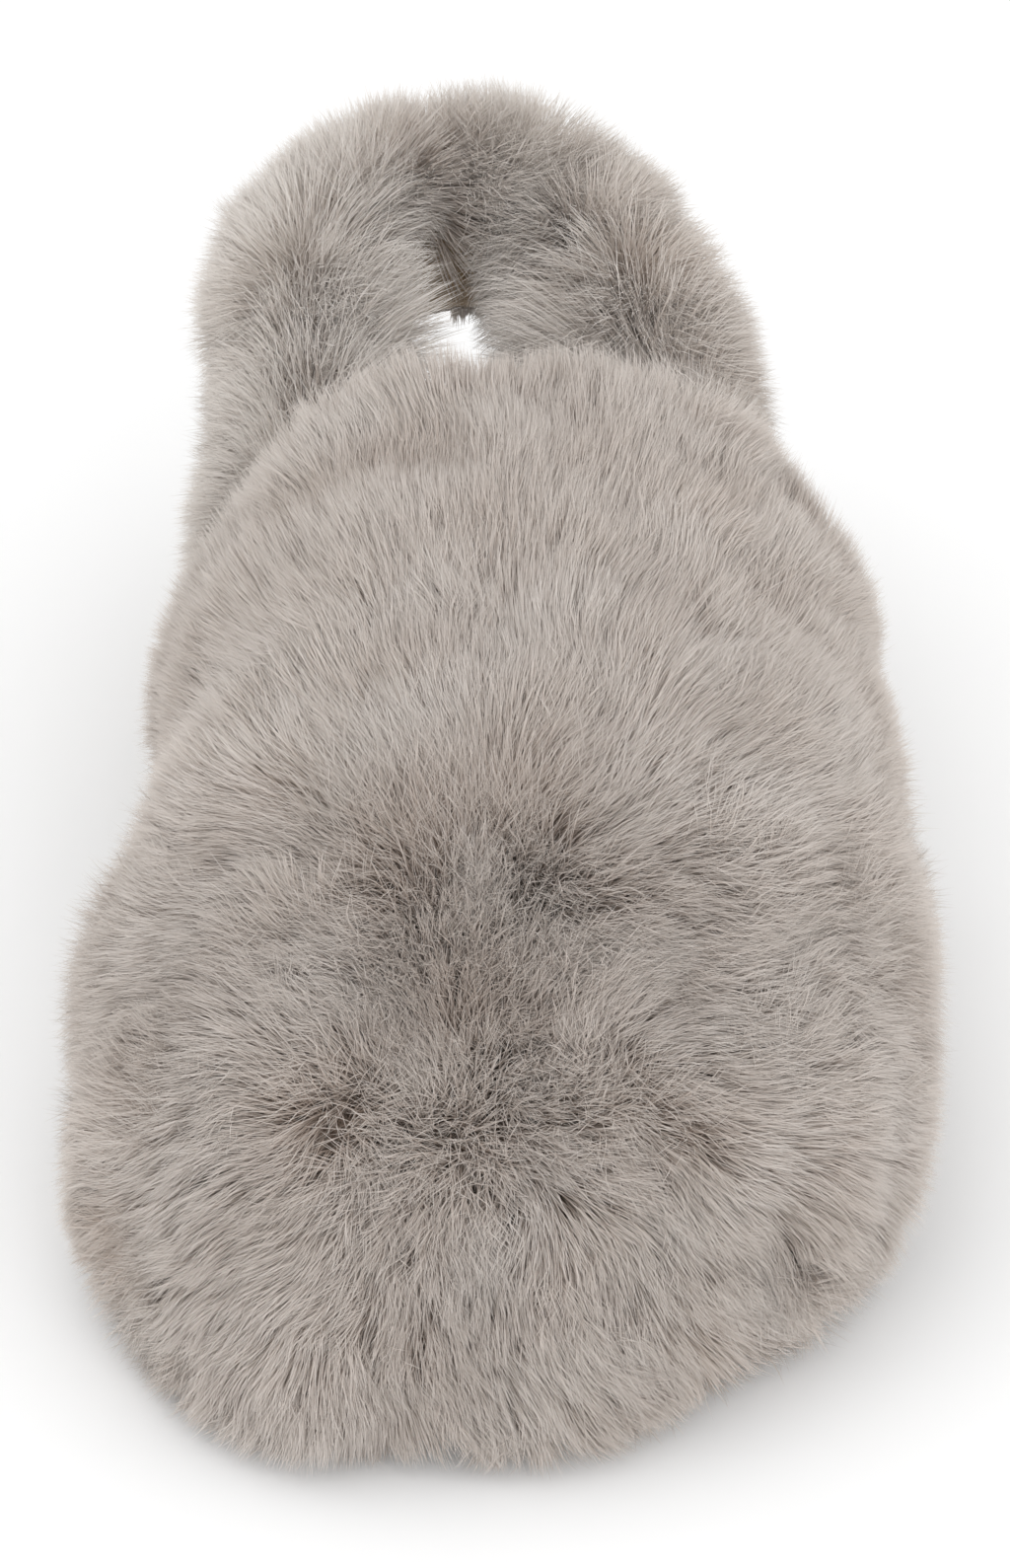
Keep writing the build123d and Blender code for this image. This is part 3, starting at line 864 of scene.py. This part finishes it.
def bed_strands(count):
    """The plush's strands, cut short under the label: their roots, corners and tones."""
    p, n = scatter_mesh(bed.data, count)
    flow = field3(p, 14 * MM, 130) + np.array([0, 0.3, 0])
    lift = 1.25 + rng.normal(size=count) * 0.12
    under_label = np.all((p[:, :2] > LABEL_LOW[:2]) & (p[:, :2] < LABEL_HIGH[:2]), axis=-1)
    length = np.where(under_label, 1.2, 4.6 + 0.7 * field(p, 12 * MM, 140)) * MM
    length = length * rng.uniform(0.85, 1.05, count)
    tone = 0.72 + 0.12 * field(p, 16 * MM, 150) + rng.normal(size=count) * 0.08
    width = rng.uniform(0.22, 0.34, count) * MM
    corners = strands(p, n, flow, length, np.clip(lift, 0.5, 1.5), width,
                      wild=0.5, tuft=0.7, tuft_size=2.2 * MM)
    return p, corners, tone


bed_p, bed_corners, bed_tone = bed_strands(70000)
split_and_build("footbed_pile", bed_corners, bed_tone, 2, bed_p[:, 1], "slipper", PLUSH)

# --- The blank label on the footbed ------------------------------------------------------------------------
LABEL_LIFT = 0.3 * MM
LABEL_WAVE = 0.25 * MM


def wavy_label(rows, columns):
    """The label's surface: flat in plan, with a slow wave."""
    u, v = np.meshgrid(np.linspace(0, 1, columns), np.linspace(0, 1, rows))
    span = LABEL_HIGH - LABEL_LOW
    z = LABEL_LOW[2] + LABEL_LIFT + LABEL_WAVE * np.sin(u * 5) * np.cos(v * 4)
    return np.stack([LABEL_LOW[0] + span[0] * u, LABEL_LOW[1] + span[1] * v, z], -1)


label_grid = wavy_label(18, 30)
label = thickened("care_label_cloth", label_grid, 0.3 * MM, LABEL, "slipper", "care_label")

# --- Studio -------------------------------------------------------------------------------------------------
FLOOR_REACH = 3
floor_mesh = bpy.data.meshes.new("floor")
floor_corners = [(x * FLOOR_REACH, y * FLOOR_REACH, 0) for x, y in ((-1, -1), (1, -1), (1, 1), (-1, 1))]
floor_mesh.from_pydata(floor_corners, [], [(0, 1, 2, 3)])
floor_mat, floor_tree, floor_shader = node_material("pale_floor", 0.9)
# The floor whitens with distance, so that it meets the white world with no horizon.
falloff = floor_tree.nodes.new("ShaderNodeTexGradient")
falloff.gradient_type = "SPHERICAL"
floor_coords = floor_tree.nodes.new("ShaderNodeTexCoord")
floor_tree.links.new(floor_coords.outputs["Object"], falloff.inputs["Vector"])
floor_colour = ramp(floor_tree, falloff.outputs["Fac"], ((0.0, (1.0, 1.0, 1.0)), (0.6, (0.92, 0.92, 0.92))))
floor_tree.links.new(floor_colour, floor_shader.inputs["Base Color"])
floor = new_object("floor", floor_mesh, floor_mat, None)

world = bpy.data.worlds.new("studio")
bpy.context.scene.world = world
world.use_nodes = True
background = world.node_tree.nodes["Background"]
background.inputs["Color"].default_value = (1, 1, 1, 1)
background.inputs["Strength"].default_value = 1.0


def facing(obj, target):
    """Turns a light or camera to look at a place."""
    obj.rotation_euler = (Vector(target) - obj.location).to_track_quat("-Z", "Y").to_euler()


LIT = (0, 0, 0.04)


def area_light(name, place, power):
    """A soft square light, one metre wide, aimed at the slipper."""
    light = bpy.data.lights.new(name, "AREA")
    light.size = 1.0
    light.energy = power
    obj = bpy.data.objects.new(name, light)
    obj.location = place
    facing(obj, LIT)
    bpy.context.collection.objects.link(obj)


area_light("key", (-0.5, 0.1, 1.2), 2.6)
area_light("fill", (0.35, -1.2, 0.65), 4.6)

# --- Camera -------------------------------------------------------------------------------------------------
ELEVATION = math.radians(34)
DISTANCE = 0.70
AIM = Vector((0, 0.0, 0.032))
camera = bpy.data.cameras.new("camera")
camera.sensor_fit = "VERTICAL"
camera.sensor_height = 36
camera.lens = 90.9
view = bpy.data.objects.new("camera", camera)
bpy.context.collection.objects.link(view)
view.location = AIM + DISTANCE * Vector((0, -math.cos(ELEVATION), math.sin(ELEVATION)))
facing(view, AIM)
bpy.context.scene.camera = view
bpy.context.scene.view_settings.view_transform = "Standard"
